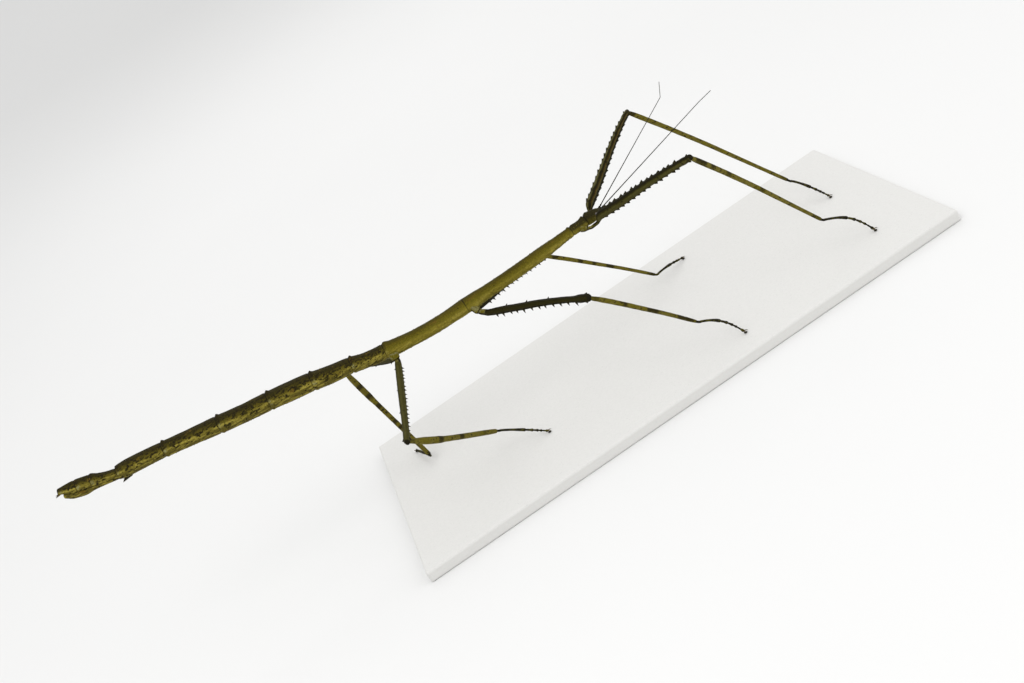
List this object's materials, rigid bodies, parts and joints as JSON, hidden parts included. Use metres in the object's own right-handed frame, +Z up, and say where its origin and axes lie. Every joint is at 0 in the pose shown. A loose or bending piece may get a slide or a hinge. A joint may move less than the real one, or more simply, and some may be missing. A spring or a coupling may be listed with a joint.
{
  "type": "stick insect",
  "caption": "Long slender stick insect standing on thin thorny legs, its ringed abdomen raised to the rear and its thread-like antennae spread, on a plain flat base.",
  "frame": {"origin": "middle of the whole model's box along X and Y, at the underside of the base", "axes": "+X towards the head, +Y to the insect's left, +Z up"},
  "size_m": [0.431, 0.16, 0.1157],
  "materials": {
    "cuticle_dark": "dull, fine-grained dark brown skin of the head and front thorax",
    "cuticle_body": "granulated olive brown skin, paler along the lower flank",
    "cuticle_femur": "dull dark olive, thorny",
    "cuticle_tibia": "yellow olive with dark bands",
    "cuticle_tarsus": "blackish brown",
    "antenna": "blackish, finely jointed",
    "eye": "glossy dark brown",
    "stand": "pale matt sheet with eased edges"
  },
  "bodies": {
    "root": {"head": "cuticle_dark", "eye_right": "eye", "eye_left": "eye", "antenna_right": "antenna", "antenna_left": "antenna", "prothorax": "cuticle_dark", "mesothorax": "cuticle_body", "metathorax": "cuticle_body", "abdomen_2": "cuticle_body", "abdomen_3": "cuticle_body", "abdomen_4": "cuticle_body", "abdomen_5": "cuticle_body", "abdomen_6": "cuticle_body", "abdomen_7": "cuticle_body", "abdomen_8": "cuticle_body", "abdomen_9": "cuticle_body", "abdomen_10": "cuticle_body", "operculum": "cuticle_body", "coxa_fore_right": "cuticle_dark", "coxa_fore_left": "cuticle_dark", "coxa_mid_right": "cuticle_body", "coxa_mid_left": "cuticle_body", "coxa_hind_right": "cuticle_body", "coxa_hind_left": "cuticle_body", "femur_fore_right": "cuticle_femur", "femur_fore_left": "cuticle_femur", "femur_mid_right": "cuticle_femur", "femur_mid_left": "cuticle_femur", "femur_hind_right": "cuticle_femur", "femur_hind_left": "cuticle_femur", "tibia_fore_right": "cuticle_tibia", "tibia_fore_left": "cuticle_tibia", "tibia_mid_right": "cuticle_tibia", "tibia_mid_left": "cuticle_tibia", "tibia_hind_right": "cuticle_tibia", "tibia_hind_left": "cuticle_tibia", "tarsus_fore_right": "cuticle_tarsus", "tarsus_fore_left": "cuticle_tarsus", "tarsus_mid_right": "cuticle_tarsus", "tarsus_mid_left": "cuticle_tarsus", "tarsus_hind_right": "cuticle_tarsus", "tarsus_hind_left": "cuticle_tarsus", "stand_base": "stand"}
  },
  "joints": []
}
